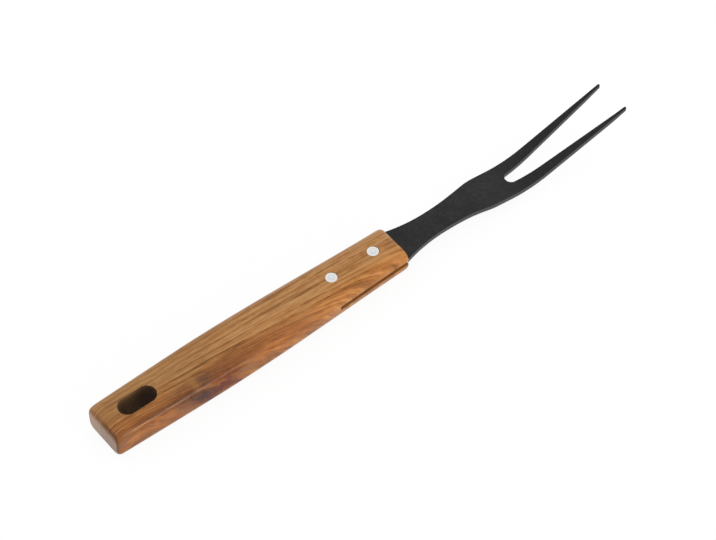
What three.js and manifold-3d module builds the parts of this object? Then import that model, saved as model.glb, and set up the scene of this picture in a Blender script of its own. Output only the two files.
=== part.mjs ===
// Barbecue fork: a slotted wooden handle, a bent two-tined steel blade whose tang sits in the slot,
// and two cutler's rivets, each a male and a female half, that clamp the wood through the tang.
//
// Millimetres. +X runs from the handle's butt to the tine tips, +Y to the left and +Z up.
// The origin lies under the middle of the fork's length, on the plane of the handle's underside.

import * as THREE from "three";
import { mergeVertices } from "three/addons/utils/BufferGeometryUtils.js";
import Module from "manifold-3d";

const wasm = await Module();
wasm.setup();

// Handle, in plan and in section

const HANDLE_LENGTH = 208.2;
const HANDLE_THICKNESS = 20;
const BUTT_WIDTH = 29;
const BELLY_WIDTH = 33.1; // widest place, under the palm
const BELLY_FROM_BUTT = 107;
const FRONT_WIDTH = 27.6;
const TOP_EDGE_RADIUS = 5; // round-over along the two top edges, up to the palm
const LOWER_EDGE_RADIUS = 5.5; // along the two lower edges, up to the palm
const FRONT_LONG_RADIUS = 7.5; // along all four, ahead of the palm
const SOFTENS_FROM_BUTT = 60; // where the first two radii start to grow
const SOFT_FROM_BUTT = 140; // and where they have reached the third
const BUTT_CORNER_RADIUS = 2.2; // in plan
const BUTT_TOP_RADIUS = 6; // in side view
const BUTT_LOWER_RADIUS = 4;
const FRONT_CORNER_RADIUS = 1; // in plan
const FRONT_TOP_RADIUS = 4.5; // in side view
const FRONT_LOWER_RADIUS = 4;
const BUTT_FLARE = 1.29; // slope of the side curve at the butt, as a share of a straight taper
const FRONT_TAPER = 0.37; // the same at the front end

// Hanging slot through the butt

const HANG_SLOT_LENGTH = 24.5;
const HANG_SLOT_WIDTH = 12;
const HANG_SLOT_FROM_BUTT = 24.1; // to the slot's middle
const HANG_SLOT_EASE = 0.7; // chamfer round both mouths

// Sawn slot for the tang

const SLOT_SAW_RADIUS = 50; // the disc saw leaves a round slot bottom
const SLOT_CLEARANCE = 0.15; // over each face of the tang

// Blade: plate, tang and plan outline

const PLATE_THICKNESS = 3;
const TANG_WIDTH = 20;
const TANG_BEHIND_RIVET = 6.3; // from the rear rivet to the tang's end
const TANG_END_GAP = 1.2; // between the tang's end and the slot's bottom, on the centreline
const TANG_CORNER_RADIUS = 6;
const SHOULDER_GAP = 0.2; // between the blade's shoulders and the handle's front end
const SHOULDER_INSET = 1.2; // shoulders stop this far short of the handle's sides
const NECK_WIDTH = 16.85;
const NECK_FROM_SHOULDER = 29.3;
const CHEEK_WIDTH = 24.2; // where the blade is broad before it splits
const CHEEK_FROM_NECK = 40;
const CHEEK_EASE_IN = 24; // handles of the curve from neck to cheek
const CHEEK_EASE_OUT = 9;
const CROTCH_FROM_CHEEK = 16.9;
const CROTCH_RADIUS = 4;
const TINE_LENGTH = 84.8; // from crotch to tip, in plan
const TIP_SPREAD = 25.4; // over the outsides of the two tips
const TIP_RADIUS = 0.65;
const TIP_THICKNESS = 1.6;
const GRIND_LENGTH = 11; // the tips are ground on their insides and underneath over this length
const GRIND_WIDTH = 2.4; // width of a tine where its grind begins

// Blade: side profile

const DIP_FROM_NECK = 28; // first bend, downwards
const DIP_ANGLE = 8.5;
const DIP_BEND_RADIUS = 120;
const RISE_FROM_DIP = 38; // second bend, upwards into the tines
const RISE_ANGLE = 13.2; // of the tines above the handle's plane
const RISE_BEND_RADIUS = 75;

// Cutler's rivets

const RIVET_FROM_FRONT = 16.2; // from the handle's front end to the front rivet
const RIVET_PITCH = 30.7; // from the front rivet to the rear one
const RIVET_HEAD_DIAMETER = 7.4;
const RIVET_HEAD_THICKNESS = 1.5;
const RIVET_CROWN = 0.25; // rise of the head's face from rim to middle
const RIVET_BARREL_DIAMETER = 4.8; // tube of the female half
const RIVET_BARREL_SPARE = 3; // from the barrel's end to the other half's head
const RIVET_SHANK_DIAMETER = 3; // solid shank of the male half
const RIVET_SHANK_SPARE = 5; // from the shank's end to the other half's head
const RIVET_PRESS_GAP = 0.05; // shank to the barrel's bore, on the radius
const RIVET_BORE_SPARE = 1; // bore left beyond the shank's end
const RIVET_HOLE_GAP = 0.1; // round the barrel and the heads
const RIVET_SEAT_GAP = 0.1; // under each head

// Facets

const RIVET_SIDES = 40;
const CROWN_STEPS = 4;
const SECTION_CORNER_STEPS = 7;
const HANDLE_STATIONS = 26;
const END_STEPS = 7;
const CURVE_STEPS = 12;
const CUT_MARGIN = 2; // how far a cutter runs past what it cuts

// Finishes

const WOOD = { color: 0xb07a4a, roughness: 0.55, metalness: 0 };
const BLACK_STEEL = { color: 0x2b2b2d, roughness: 0.6, metalness: 0.4 };
const ALUMINIUM = { color: 0xdcdcdc, roughness: 0.3, metalness: 1 };

// Stations along the blade, from its shoulders

const cheekStation = NECK_FROM_SHOULDER + CHEEK_FROM_NECK;
const crotchStation = cheekStation + CROTCH_FROM_CHEEK;
const tipStation = crotchStation + TINE_LENGTH;
const grindStation = tipStation - GRIND_LENGTH;
const dipStation = NECK_FROM_SHOULDER + DIP_FROM_NECK;
const riseStation = dipStation + RISE_FROM_DIP;

// Stations in the handle, from its front end

const rivetStations = { front: RIVET_FROM_FRONT, rear: RIVET_FROM_FRONT + RIVET_PITCH };
const tangEndStation = rivetStations.rear + TANG_BEHIND_RIVET;
const slotDepth = tangEndStation + TANG_END_GAP;

const tangLength = tangEndStation + SHOULDER_GAP;
const totalLength = HANDLE_LENGTH + SHOULDER_GAP + tipStation;
const midThickness = HANDLE_THICKNESS / 2;

// Solids for cutting and joining

function solidOf(geometry) {
  const bare = geometry.clone();
  bare.deleteAttribute("normal");
  bare.deleteAttribute("uv");
  const merged = mergeVertices(bare);
  return new wasm.Manifold(
    new wasm.Mesh({
      numProp: 3,
      vertProperties: new Float32Array(merged.attributes.position.array),
      triVerts: new Uint32Array(merged.index.array),
    }),
  );
}

function geometryOf(solid) {
  const { vertProperties, triVerts } = solid.getMesh();
  const geometry = new THREE.BufferGeometry();
  geometry.setAttribute("position", new THREE.BufferAttribute(vertProperties, 3));
  geometry.setIndex(new THREE.BufferAttribute(triVerts, 1));
  geometry.computeVertexNormals();
  return geometry;
}

// Skins a row of rings, each with as many points as the next, and closes both ends with a fan.
function loft(rings) {
  const count = rings[0].length;
  const points = rings.flat();
  const index = [];
  const at = (ring, k) => ring * count + (k % count);
  for (let ring = 0; ring + 1 < rings.length; ring++) {
    for (let k = 0; k < count; k++) {
      index.push(at(ring, k), at(ring, k + 1), at(ring + 1, k));
      index.push(at(ring, k + 1), at(ring + 1, k + 1), at(ring + 1, k));
    }
  }
  const last = rings.length - 1;
  for (let k = 1; k + 1 < count; k++) {
    index.push(at(0, 0), at(0, k + 1), at(0, k));
    index.push(at(last, 0), at(last, k), at(last, k + 1));
  }
  const geometry = new THREE.BufferGeometry().setFromPoints(points);
  return geometry.setIndex(index);
}

// A flat outline in X and Y, raised from one height to another.
function raise(shape, low, high) {
  const geometry = new THREE.ExtrudeGeometry(shape, {
    depth: high - low,
    bevelEnabled: false,
    curveSegments: CURVE_STEPS,
  });
  return geometry.translate(0, 0, low);
}

// Handle

// A cubic from 0 to 1 that leaves level and arrives with the given slope.
function easeTo(t, endSlope) {
  return t * t * (3 - 2 * t) + endSlope * (t * t * t - t * t);
}

// Half the handle's width at a distance from the butt, before the corners are rounded.
function handleHalfWidth(x) {
  if (x < BELLY_FROM_BUTT) {
    const t = 1 - x / BELLY_FROM_BUTT;
    return (BELLY_WIDTH - (BELLY_WIDTH - BUTT_WIDTH) * easeTo(t, BUTT_FLARE)) / 2;
  }
  const t = (x - BELLY_FROM_BUTT) / (HANDLE_LENGTH - BELLY_FROM_BUTT);
  return (BELLY_WIDTH - (BELLY_WIDTH - FRONT_WIDTH) * easeTo(t, FRONT_TAPER)) / 2;
}

// How much a round of the given radius takes off a side, at a distance from the end face.
function roundLoss(radius, fromEnd) {
  const inside = Math.max(0, radius - fromEnd);
  return radius - Math.sqrt(radius * radius - inside * inside);
}

// Radius of a long edge's round-over at a distance from the butt.
function longEdgeRadius(rearRadius, x) {
  const soft = THREE.MathUtils.smoothstep(x, SOFTENS_FROM_BUTT, SOFT_FROM_BUTT);
  return THREE.MathUtils.lerp(rearRadius, FRONT_LONG_RADIUS, soft);
}

// A rounded rectangle about the handle's axis, counter-clockwise about +X.
// Where the ends round off, the long edges' rounds shrink with the height that is left.
function handleSection(x) {
  const endLoss = (butt, front) => roundLoss(butt, x) + roundLoss(front, HANDLE_LENGTH - x);
  const halfWidth = handleHalfWidth(x) - endLoss(BUTT_CORNER_RADIUS, FRONT_CORNER_RADIUS);
  const above = midThickness - endLoss(BUTT_TOP_RADIUS, FRONT_TOP_RADIUS);
  const below = midThickness - endLoss(BUTT_LOWER_RADIUS, FRONT_LOWER_RADIUS);
  const topRadius = (longEdgeRadius(TOP_EDGE_RADIUS, x) * above) / midThickness;
  const lowerRadius = (longEdgeRadius(LOWER_EDGE_RADIUS, x) * below) / midThickness;
  const ring = [];
  for (let corner = 0; corner < 4; corner++) {
    const radius = corner < 2 ? topRadius : lowerRadius;
    const y = (corner === 0 || corner === 3 ? 1 : -1) * (halfWidth - radius);
    const z = corner < 2 ? above - radius : radius - below;
    for (let step = 0; step <= SECTION_CORNER_STEPS; step++) {
      const angle = (corner + step / SECTION_CORNER_STEPS) * (Math.PI / 2);
      ring.push(
        new THREE.Vector3(x, y + radius * Math.cos(angle), midThickness + z + radius * Math.sin(angle)),
      );
    }
  }
  return ring;
}

// Stations along the handle: close together where the ends round off, even between.
function handleStations() {
  const buttRound = Math.max(BUTT_CORNER_RADIUS, BUTT_TOP_RADIUS, BUTT_LOWER_RADIUS);
  const frontRound = Math.max(FRONT_CORNER_RADIUS, FRONT_TOP_RADIUS, FRONT_LOWER_RADIUS);
  const stations = [];
  for (let step = 0; step < END_STEPS; step++) {
    stations.push(buttRound * (1 - Math.cos(((step / END_STEPS) * Math.PI) / 2)));
  }
  for (let step = 0; step <= HANDLE_STATIONS; step++) {
    stations.push(buttRound + ((HANDLE_LENGTH - buttRound - frontRound) * step) / HANDLE_STATIONS);
  }
  for (let step = END_STEPS - 1; step >= 0; step--) {
    stations.push(HANDLE_LENGTH - frontRound * (1 - Math.cos(((step / END_STEPS) * Math.PI) / 2)));
  }
  return stations;
}

// The hanging slot's outline, a straight slot with round ends, grown on all sides by a margin.
function hangSlotRing(margin, z) {
  const radius = HANG_SLOT_WIDTH / 2 + margin;
  const reach = (HANG_SLOT_LENGTH - HANG_SLOT_WIDTH) / 2;
  const ring = [];
  for (const side of [1, -1]) {
    for (let step = 0; step <= 2 * CURVE_STEPS; step++) {
      const angle = (step / (2 * CURVE_STEPS) - 0.5) * Math.PI;
      ring.push(
        new THREE.Vector3(
          HANG_SLOT_FROM_BUTT + side * (reach + radius * Math.cos(angle)),
          side * radius * Math.sin(angle),
          z,
        ),
      );
    }
  }
  return ring;
}

function hangSlotCutter() {
  const rings = [
    hangSlotRing(HANG_SLOT_EASE + CUT_MARGIN, -CUT_MARGIN),
    hangSlotRing(0, HANG_SLOT_EASE),
    hangSlotRing(0, HANDLE_THICKNESS - HANG_SLOT_EASE),
    hangSlotRing(HANG_SLOT_EASE + CUT_MARGIN, HANDLE_THICKNESS + CUT_MARGIN),
  ];
  return loft(rings);
}

// The sawn slot, open at the front and both sides, with the round bottom that the disc saw leaves.
function tangSlotCutter() {
  const reach = BELLY_WIDTH / 2 + CUT_MARGIN;
  const bottom = HANDLE_LENGTH - slotDepth;
  const sawCentre = bottom + SLOT_SAW_RADIUS;
  const spread = Math.asin(reach / SLOT_SAW_RADIUS);
  const shape = new THREE.Shape();
  shape.moveTo(HANDLE_LENGTH + CUT_MARGIN, -reach);
  shape.lineTo(HANDLE_LENGTH + CUT_MARGIN, reach);
  shape.absarc(sawCentre, 0, SLOT_SAW_RADIUS, Math.PI - spread, Math.PI + spread, false);
  const half = PLATE_THICKNESS / 2 + SLOT_CLEARANCE;
  return raise(shape, midThickness - half, midThickness + half);
}

// A turned solid about a vertical axis, from a profile of radius and height.
function turned(profile) {
  const points = profile.map(([radius, height]) => new THREE.Vector2(radius, height));
  return new THREE.LatheGeometry(points, RIVET_SIDES).rotateX(Math.PI / 2);
}

// The hole for one rivet: a bore for the barrel and a seat for the head in each face.
function rivetHoleCutter(x) {
  const bore = RIVET_BARREL_DIAMETER / 2 + RIVET_HOLE_GAP;
  const seat = RIVET_HEAD_DIAMETER / 2 + RIVET_HOLE_GAP;
  const seatDepth = RIVET_HEAD_THICKNESS + RIVET_SEAT_GAP;
  const top = HANDLE_THICKNESS;
  return turned([
    [0, -CUT_MARGIN],
    [seat, -CUT_MARGIN],
    [seat, seatDepth],
    [bore, seatDepth],
    [bore, top - seatDepth],
    [seat, top - seatDepth],
    [seat, top + CUT_MARGIN],
    [0, top + CUT_MARGIN],
  ]).translate(x, 0, 0);
}

function makeHandle() {
  let body = solidOf(loft(handleStations().map(handleSection)));
  body = body.subtract(solidOf(hangSlotCutter()));
  body = body.subtract(solidOf(tangSlotCutter()));
  for (const fromFront of Object.values(rivetStations)) {
    body = body.subtract(solidOf(rivetHoleCutter(HANDLE_LENGTH - fromFront)));
  }
  const handle = new THREE.Mesh(geometryOf(body), new THREE.MeshStandardMaterial(WOOD));
  handle.name = "wooden_handle";
  return handle;
}

// Blade, with x from its shoulders and z from the middle of its tang

// One half of the plan outline, from the middle of the tang's end round the tine to the crotch.
function bladeHalfOutline() {
  const tang = TANG_WIDTH / 2;
  const shoulder = FRONT_WIDTH / 2 - SHOULDER_INSET;
  const neck = NECK_WIDTH / 2;
  const cheek = CHEEK_WIDTH / 2;
  const tip = TIP_SPREAD / 2;
  const tipCentre = tipStation - TIP_RADIUS;
  const tangCorner = TANG_CORNER_RADIUS - tangLength;
  const half = new THREE.Path();
  half.moveTo(-tangLength, 0);
  half.absarc(tangCorner, tang - TANG_CORNER_RADIUS, TANG_CORNER_RADIUS, Math.PI, Math.PI / 2, true);
  half.lineTo(0, tang);
  half.lineTo(0, shoulder);
  half.quadraticCurveTo(NECK_FROM_SHOULDER / 2, neck, NECK_FROM_SHOULDER, neck);
  half.bezierCurveTo(
    NECK_FROM_SHOULDER + CHEEK_EASE_IN,
    neck,
    cheekStation - CHEEK_EASE_OUT,
    cheek,
    cheekStation,
    cheek,
  );
  half.absarc(tipCentre, tip - TIP_RADIUS, TIP_RADIUS, Math.PI / 2, -Math.PI / 2, true);
  const crotch = new THREE.Vector2(crotchStation + CROTCH_RADIUS, 0);
  const grind = new THREE.Vector2(grindStation, tip - GRIND_WIDTH);
  const reach = grind.clone().sub(crotch);
  const leaves = reach.angle() + Math.acos(CROTCH_RADIUS / reach.length());
  const root = new THREE.Vector2(CROTCH_RADIUS, 0).rotateAround(new THREE.Vector2(), leaves).add(crotch);
  const bend = grind.clone().addScaledVector(grind.clone().sub(root).normalize(), GRIND_LENGTH / 2);
  half.quadraticCurveTo(bend.x, bend.y, grind.x, grind.y);
  half.absarc(crotch.x, crotch.y, CROTCH_RADIUS, leaves, Math.PI, false);
  return half.getPoints(CURVE_STEPS);
}

function bladeOutline() {
  const half = bladeHalfOutline();
  const mirrored = half.slice(1, -1).map((point) => new THREE.Vector2(point.x, -point.y));
  return new THREE.Shape([...half.reverse(), ...mirrored]);
}

// The arc that rounds the corner between two straight runs.
function roundedCorner(before, corner, after, radius) {
  const into = corner.clone().sub(before).normalize();
  const out = after.clone().sub(corner).normalize();
  const turn = Math.atan2(into.cross(out), into.dot(out));
  const start = corner.clone().addScaledVector(into, -radius * Math.tan(Math.abs(turn) / 2));
  const inwards = new THREE.Vector2(-into.y, into.x).multiplyScalar(Math.sign(turn));
  const centre = start.clone().addScaledVector(inwards, radius);
  const arc = [];
  for (let step = 0; step <= CURVE_STEPS; step++) {
    arc.push(start.clone().rotateAround(centre, (turn * step) / CURVE_STEPS));
  }
  return arc;
}

// The plate's top edge in side view: level over the tang, down past the neck, then up along the tines.
function bladeTopLine() {
  const fall = Math.tan(THREE.MathUtils.degToRad(DIP_ANGLE));
  const climb = Math.tan(THREE.MathUtils.degToRad(RISE_ANGLE));
  const along = (from, x, slope) => new THREE.Vector2(x, from.y + (x - from.x) * slope);
  const start = new THREE.Vector2(-tangLength - CUT_MARGIN, PLATE_THICKNESS / 2);
  const dip = along(start, dipStation, 0);
  const rise = along(dip, riseStation, -fall);
  const grind = along(rise, grindStation, climb);
  const end = along(rise, tipStation + CUT_MARGIN, climb);
  return [
    start,
    ...roundedCorner(start, dip, rise, DIP_BEND_RADIUS),
    ...roundedCorner(dip, rise, grind, RISE_BEND_RADIUS),
    grind,
    end,
  ];
}

// The plate's thickness at a distance from the shoulders: even, then ground thin towards the tip.
function plateThickness(x) {
  const ground = Math.max(0, x - grindStation) / GRIND_LENGTH;
  return PLATE_THICKNESS - (PLATE_THICKNESS - TIP_THICKNESS) * ground;
}

// The plate in side view, its thickness laid off square to the top edge.
function bladeRibbon() {
  const top = bladeTopLine();
  const bottom = top.map((point, k) => {
    const before = top[Math.max(0, k - 1)];
    const after = top[Math.min(top.length - 1, k + 1)];
    const along = after.clone().sub(before).normalize();
    const down = new THREE.Vector2(along.y, -along.x);
    return point.clone().addScaledVector(down, plateThickness(point.x));
  });
  return new THREE.Shape([...bottom, ...top.reverse()]);
}

function makeBlade() {
  const reach = Math.max(FRONT_WIDTH, CHEEK_WIDTH, TIP_SPREAD, TANG_WIDTH) / 2 + CUT_MARGIN;
  const tall = tipStation;
  const plan = raise(bladeOutline(), -tall, tall);
  const ribbon = raise(bladeRibbon(), -reach, reach).rotateX(Math.PI / 2);
  let body = solidOf(plan).intersect(solidOf(ribbon));
  const hole = RIVET_BARREL_DIAMETER / 2 + RIVET_HOLE_GAP;
  for (const fromFront of Object.values(rivetStations)) {
    const drill = turned([
      [0, -PLATE_THICKNESS],
      [hole, -PLATE_THICKNESS],
      [hole, PLATE_THICKNESS],
      [0, PLATE_THICKNESS],
    ]).translate(-fromFront - SHOULDER_GAP, 0, 0);
    body = body.subtract(solidOf(drill));
  }
  const blade = new THREE.Mesh(geometryOf(body), new THREE.MeshStandardMaterial(BLACK_STEEL));
  blade.name = "fork_blade";
  blade.position.set(HANDLE_LENGTH + SHOULDER_GAP, 0, midThickness);
  return blade;
}

// Rivets, with z from the face of the head and the shank pointing down

// The head's profile: a low crown from the middle, a straight rim and a flat underside.
function headProfile(stem) {
  const rim = RIVET_HEAD_DIAMETER / 2;
  const profile = [];
  for (let step = 0; step <= CROWN_STEPS; step++) {
    const t = step / CROWN_STEPS;
    profile.push([rim * t, -RIVET_CROWN * t * t]);
  }
  profile.push([rim, -RIVET_HEAD_THICKNESS], [stem, -RIVET_HEAD_THICKNESS]);
  return profile;
}

function maleHalf() {
  const shank = RIVET_SHANK_DIAMETER / 2;
  const end = RIVET_HEAD_THICKNESS + RIVET_SHANK_SPARE - HANDLE_THICKNESS;
  const pin = [
    [shank, end],
    [0, end],
  ];
  return turned([...headProfile(shank), ...pin].reverse());
}

function femaleHalf() {
  const barrel = RIVET_BARREL_DIAMETER / 2;
  const bore = RIVET_SHANK_DIAMETER / 2 + RIVET_PRESS_GAP;
  const end = RIVET_HEAD_THICKNESS + RIVET_BARREL_SPARE - HANDLE_THICKNESS;
  const boreEnd = RIVET_BORE_SPARE - RIVET_SHANK_SPARE - RIVET_HEAD_THICKNESS;
  const tube = [
    [barrel, end],
    [bore, end],
    [bore, boreEnd],
    [0, boreEnd],
  ];
  return turned([...headProfile(barrel), ...tube].reverse());
}

function makeRivet(place, fromFront) {
  const rivet = new THREE.Group();
  const male = new THREE.Mesh(maleHalf(), new THREE.MeshStandardMaterial(ALUMINIUM));
  male.name = `${place}_rivet_male`;
  male.position.z = HANDLE_THICKNESS;
  const female = new THREE.Mesh(femaleHalf(), new THREE.MeshStandardMaterial(ALUMINIUM));
  female.name = `${place}_rivet_female`;
  female.rotation.x = Math.PI;
  rivet.add(male, female);
  rivet.position.x = HANDLE_LENGTH - fromFront;
  return rivet;
}

// Assembly

const fork = new THREE.Group();
fork.add(makeHandle(), makeBlade());
for (const [place, fromFront] of Object.entries(rivetStations)) {
  fork.add(makeRivet(place, fromFront));
}
fork.position.x = -totalLength / 2;

export default fork;
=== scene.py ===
"""A barbecue fork on a pale studio floor.

An oiled wooden handle with a hanging slot and a sawn slot, a bent black steel blade whose tang sits
in the sawn slot, and two rivets whose heads show in the handle's top and underside.
Sizes in the classes are millimetres in the fork's own frame, and meshes are metres.
"""

import logging
import math
from dataclasses import dataclass, replace
from enum import Enum
from typing import Any, Callable, Iterable

import bmesh
import bpy
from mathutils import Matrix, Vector


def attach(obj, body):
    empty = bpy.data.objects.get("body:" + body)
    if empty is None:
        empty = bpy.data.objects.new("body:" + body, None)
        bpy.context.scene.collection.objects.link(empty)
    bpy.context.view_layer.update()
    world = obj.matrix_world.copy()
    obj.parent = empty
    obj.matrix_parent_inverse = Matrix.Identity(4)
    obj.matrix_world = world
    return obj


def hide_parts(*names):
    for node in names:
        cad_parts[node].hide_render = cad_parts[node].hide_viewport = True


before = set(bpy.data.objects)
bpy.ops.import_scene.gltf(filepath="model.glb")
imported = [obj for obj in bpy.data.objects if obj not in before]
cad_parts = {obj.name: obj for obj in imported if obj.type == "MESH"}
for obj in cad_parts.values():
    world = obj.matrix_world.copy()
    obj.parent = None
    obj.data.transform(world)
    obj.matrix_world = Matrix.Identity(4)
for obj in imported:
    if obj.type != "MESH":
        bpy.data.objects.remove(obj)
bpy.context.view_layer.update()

log = logging.getLogger("barbecue_fork")

Colour = tuple[float, float, float]
Place = tuple[float, float, float]
Span = tuple[float, float]

MM = 0.001  # metres in a millimetre
TOUCH = 0.002  # places closer than this, in millimetres, count as one
WELD = 1e-6  # vertices closer than this, in metres, are merged
CUT_OVER = 5.0  # how far a drill reaches past the faces that it opens
DRILL_SIDES = 64
HALVINGS = 40  # how often a run is halved in search of a place on a curve
NORMAL_WEIGHT = 50  # how much larger faces count for the shading
MEAN_NOISE = 0.5  # what noise varies about
MIX_INPUTS = (0, 6, 7)  # the factor and the colours among the inputs of a Mix node
MIX_RESULT = 2  # the colour among its outputs
ROUND = 0.5  # the profile of a round bevel
QUARTERS = ((1, 1), (-1, 1), (-1, -1), (1, -1))  # of a section, across and up
RIVET_PLACES = {"front": 2.3, "rear": -28.4}  # along the fork, in millimetres
WHITE: Colour = (1.0, 1.0, 1.0)
DARK_WOOD: Colour = (0.125, 0.047, 0.012)
BODY = "root"


class Slot(Enum):
    """Material slots of the part's record."""

    WOOD = "oiled_wood"
    STEEL = "black_steel"
    RIVET = "rivet_aluminium"


class RivetHalf(Enum):
    """The two halves of a rivet, by the face of the handle that their heads sit in."""

    UPPER = "male"
    LOWER = "female"


class Blend(Enum):
    """Ways to mix two colours."""

    MIX = "MIX"
    MULTIPLY = "MULTIPLY"


# Node trees


def math_node(operation: str, reflected: bool = False) -> Callable[..., "Signal"]:
    """Makes a method that adds a Math node to its value's tree.

    Args:
        operation: The node's operation.
        reflected: Whether the value comes last, as where a number stands on its left.

    Returns:
        The method, which takes the other inputs as links or numbers.
    """

    def method(self: "Signal", *others: "Signal | float") -> "Signal":
        """Adds the node.

        Args:
            others: The other inputs.

        Returns:
            The node's result.
        """
        tree = self.socket.id_data
        node = tree.nodes.new("ShaderNodeMath")
        node.operation = operation
        values = (*others, self) if reflected else (self, *others)
        for slot, value in zip(node.inputs, values):
            if isinstance(value, Signal):
                tree.links.new(value.socket, slot)
            else:
                slot.default_value = value
        return Signal(node.outputs[0])

    return method


class Signal:
    """A value in a material's node tree. Arithmetic on it adds Math nodes."""

    def __init__(self, socket: bpy.types.NodeSocket) -> None:
        """Wraps an output socket."""
        self.socket = socket

    __add__ = __radd__ = math_node("ADD")
    __sub__ = math_node("SUBTRACT")
    __rsub__ = math_node("SUBTRACT", reflected=True)
    __mul__ = __rmul__ = math_node("MULTIPLY")
    __truediv__ = math_node("DIVIDE")
    __pow__ = math_node("POWER")
    __abs__ = math_node("ABSOLUTE")
    above = math_node("MAXIMUM")
    root = math_node("SQRT")
    exp = math_node("EXPONENT")
    leftover = math_node("FRACT")

    def __neg__(self) -> "Signal":
        """Opposite."""
        return self * -1.0


def bell(offsets: Iterable[Signal], reaches: Iterable[float]) -> Signal:
    """One where all offsets are zero, fading to nothing over their reaches."""
    shares = [offset / reach for offset, reach in zip(offsets, reaches)]
    return (-sum(share * share for share in shares)).exp()


class Shader:
    """A material while its node tree is drawn."""

    def __init__(self, owner: Any) -> None:
        """Clears the tree of a material or world.

        Args:
            owner: The material or world.
        """
        owner.use_nodes = True
        self.owner = owner
        self.tree = owner.node_tree
        self.tree.nodes.clear()

    @classmethod
    def named(cls, name: str) -> "Shader":
        """Starts a new material."""
        return cls(bpy.data.materials.new(name))

    def add(
        self,
        kind: str,
        settings: dict[str, Any] | None = None,
        inputs: dict[str | int, Any] | None = None,
        out: str | int = 0,
    ) -> Signal:
        """Adds a node.

        Args:
            kind: The node's type, without the leading ShaderNode.
            settings: Its properties, and its stops if it is a ramp.
            inputs: Numbers, colours or links for its sockets.
            out: The output to hand back.

        Returns:
            That output, or an empty value if the node has none.
        """
        node = self.tree.nodes.new("ShaderNode" + kind)
        for key, value in (settings or {}).items():
            if key == "stops":
                self._set_stops(node.color_ramp, value)
            else:
                setattr(node, key, value)
        for key, value in (inputs or {}).items():
            if isinstance(value, Signal):
                self.tree.links.new(value.socket, node.inputs[key])
            elif isinstance(value, tuple) and len(value) == 3 and node.inputs[key].type == "RGBA":
                node.inputs[key].default_value = (*value, 1.0)
            else:
                node.inputs[key].default_value = value
        return Signal(node.outputs[out]) if node.outputs else Signal(None)

    @staticmethod
    def _set_stops(ramp: bpy.types.ColorRamp, stops: Iterable[tuple[float, Colour]]) -> None:
        """Gives a ramp its stops.

        Args:
            ramp: The ramp, which comes with two stops.
            stops: Positions and colours, in order.
        """
        while len(ramp.elements) < len(stops):
            ramp.elements.new(1.0)
        for element, (position, colour) in zip(ramp.elements, stops):
            element.position = position
            element.color = (*colour, 1.0)

    def millimetres(self) -> tuple[Signal, Signal, Signal]:
        """Asks where the surface lies.

        Returns:
            Its place along X, Y and Z, in millimetres.
        """
        place = self.add("TexCoord", out="Object")
        scaled = self.add("VectorMath", {"operation": "SCALE"}, {"Vector": place, "Scale": 1 / MM})
        return tuple(self.add("SeparateXYZ", None, {0: scaled}, axis) for axis in "XYZ")

    def facing(self, axis: str) -> Signal:
        """How squarely the surface faces along an axis, either way."""
        normal = self.add("TexCoord", out="Normal")
        return abs(self.add("SeparateXYZ", None, {0: normal}, axis))

    def vector(self, x: Signal | float, y: Signal | float, z: Signal | float) -> Signal:
        """Three values as one vector."""
        return self.add("CombineXYZ", None, {"X": x, "Y": y, "Z": z})

    def noise(self, place: Signal, detail: float = 2.0, roughness: float = 0.5) -> Signal:
        """Even noise about one half, with features a unit of the place apart.

        Args:
            place: The vector to sample at.
            detail: How many finer octaves are added.
            roughness: How strong each finer octave is.

        Returns:
            A value mostly between 0.2 and 0.8.
        """
        inputs = {"Vector": place, "Scale": 1.0, "Detail": detail, "Roughness": roughness}
        return self.add("TexNoise", None, inputs)

    def step(self, value: Signal, low: float, high: float) -> Signal:
        """Rises smoothly from nothing at the low bound to one at the high bound."""
        inputs = {"Value": value, "From Min": low, "From Max": high}
        return self.add("MapRange", {"interpolation_type": "SMOOTHSTEP"}, inputs)

    def within(self, value: Signal, bound: float, brink: Span) -> Signal:
        """One below a bound and nothing above it, changing over a brink about the bound."""
        return self.step(value, bound + brink[0], bound + brink[1])

    def blend(
        self, factor: Signal | float, first: Any, second: Any, mode: Blend = Blend.MIX
    ) -> Signal:
        """Mixes two colours.

        Args:
            factor: The share of the second.
            first: A colour or link.
            second: A colour or link.
            mode: How they are mixed.

        Returns:
            The mixed colour.
        """
        settings = {"data_type": "RGBA", "blend_type": mode.value, "clamp_factor": True}
        return self.add("Mix", settings, dict(zip(MIX_INPUTS, (factor, first, second))), MIX_RESULT)

    def bump(self, height: Signal, strength: float, depth: float) -> Signal:
        """Tilts the surface by a height whose unit is a depth in millimetres."""
        inputs = {"Strength": strength, "Distance": depth * MM, "Height": height}
        return self.add("Bump", None, inputs)

    def surface(self, inputs: dict[str, Any]) -> bpy.types.Material:
        """Ends the tree with a Principled shader, and hands back the material."""
        self.add("OutputMaterial", None, {"Surface": self.add("BsdfPrincipled", None, inputs)})
        return self.owner


# Finishes


@dataclass(frozen=True)
class Mottle:
    """Even blotches about one half, with their fineness in features for each millimetre.

    Their tone, dullness and height are how much they change a surface's colour, roughness and bump.
    """

    fineness: Place
    detail: float = 2.0
    roughness: float = 0.5
    tone: float = 0.0
    dullness: float = 0.0
    height: float = 0.0

    def draw(self, shader: Shader, place: Iterable[Signal | float]) -> Signal:
        """The blotches at a place in millimetres."""
        scaled = shader.vector(*(part * fine for part, fine in zip(place, self.fineness)))
        return shader.noise(scaled, self.detail, self.roughness)


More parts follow.
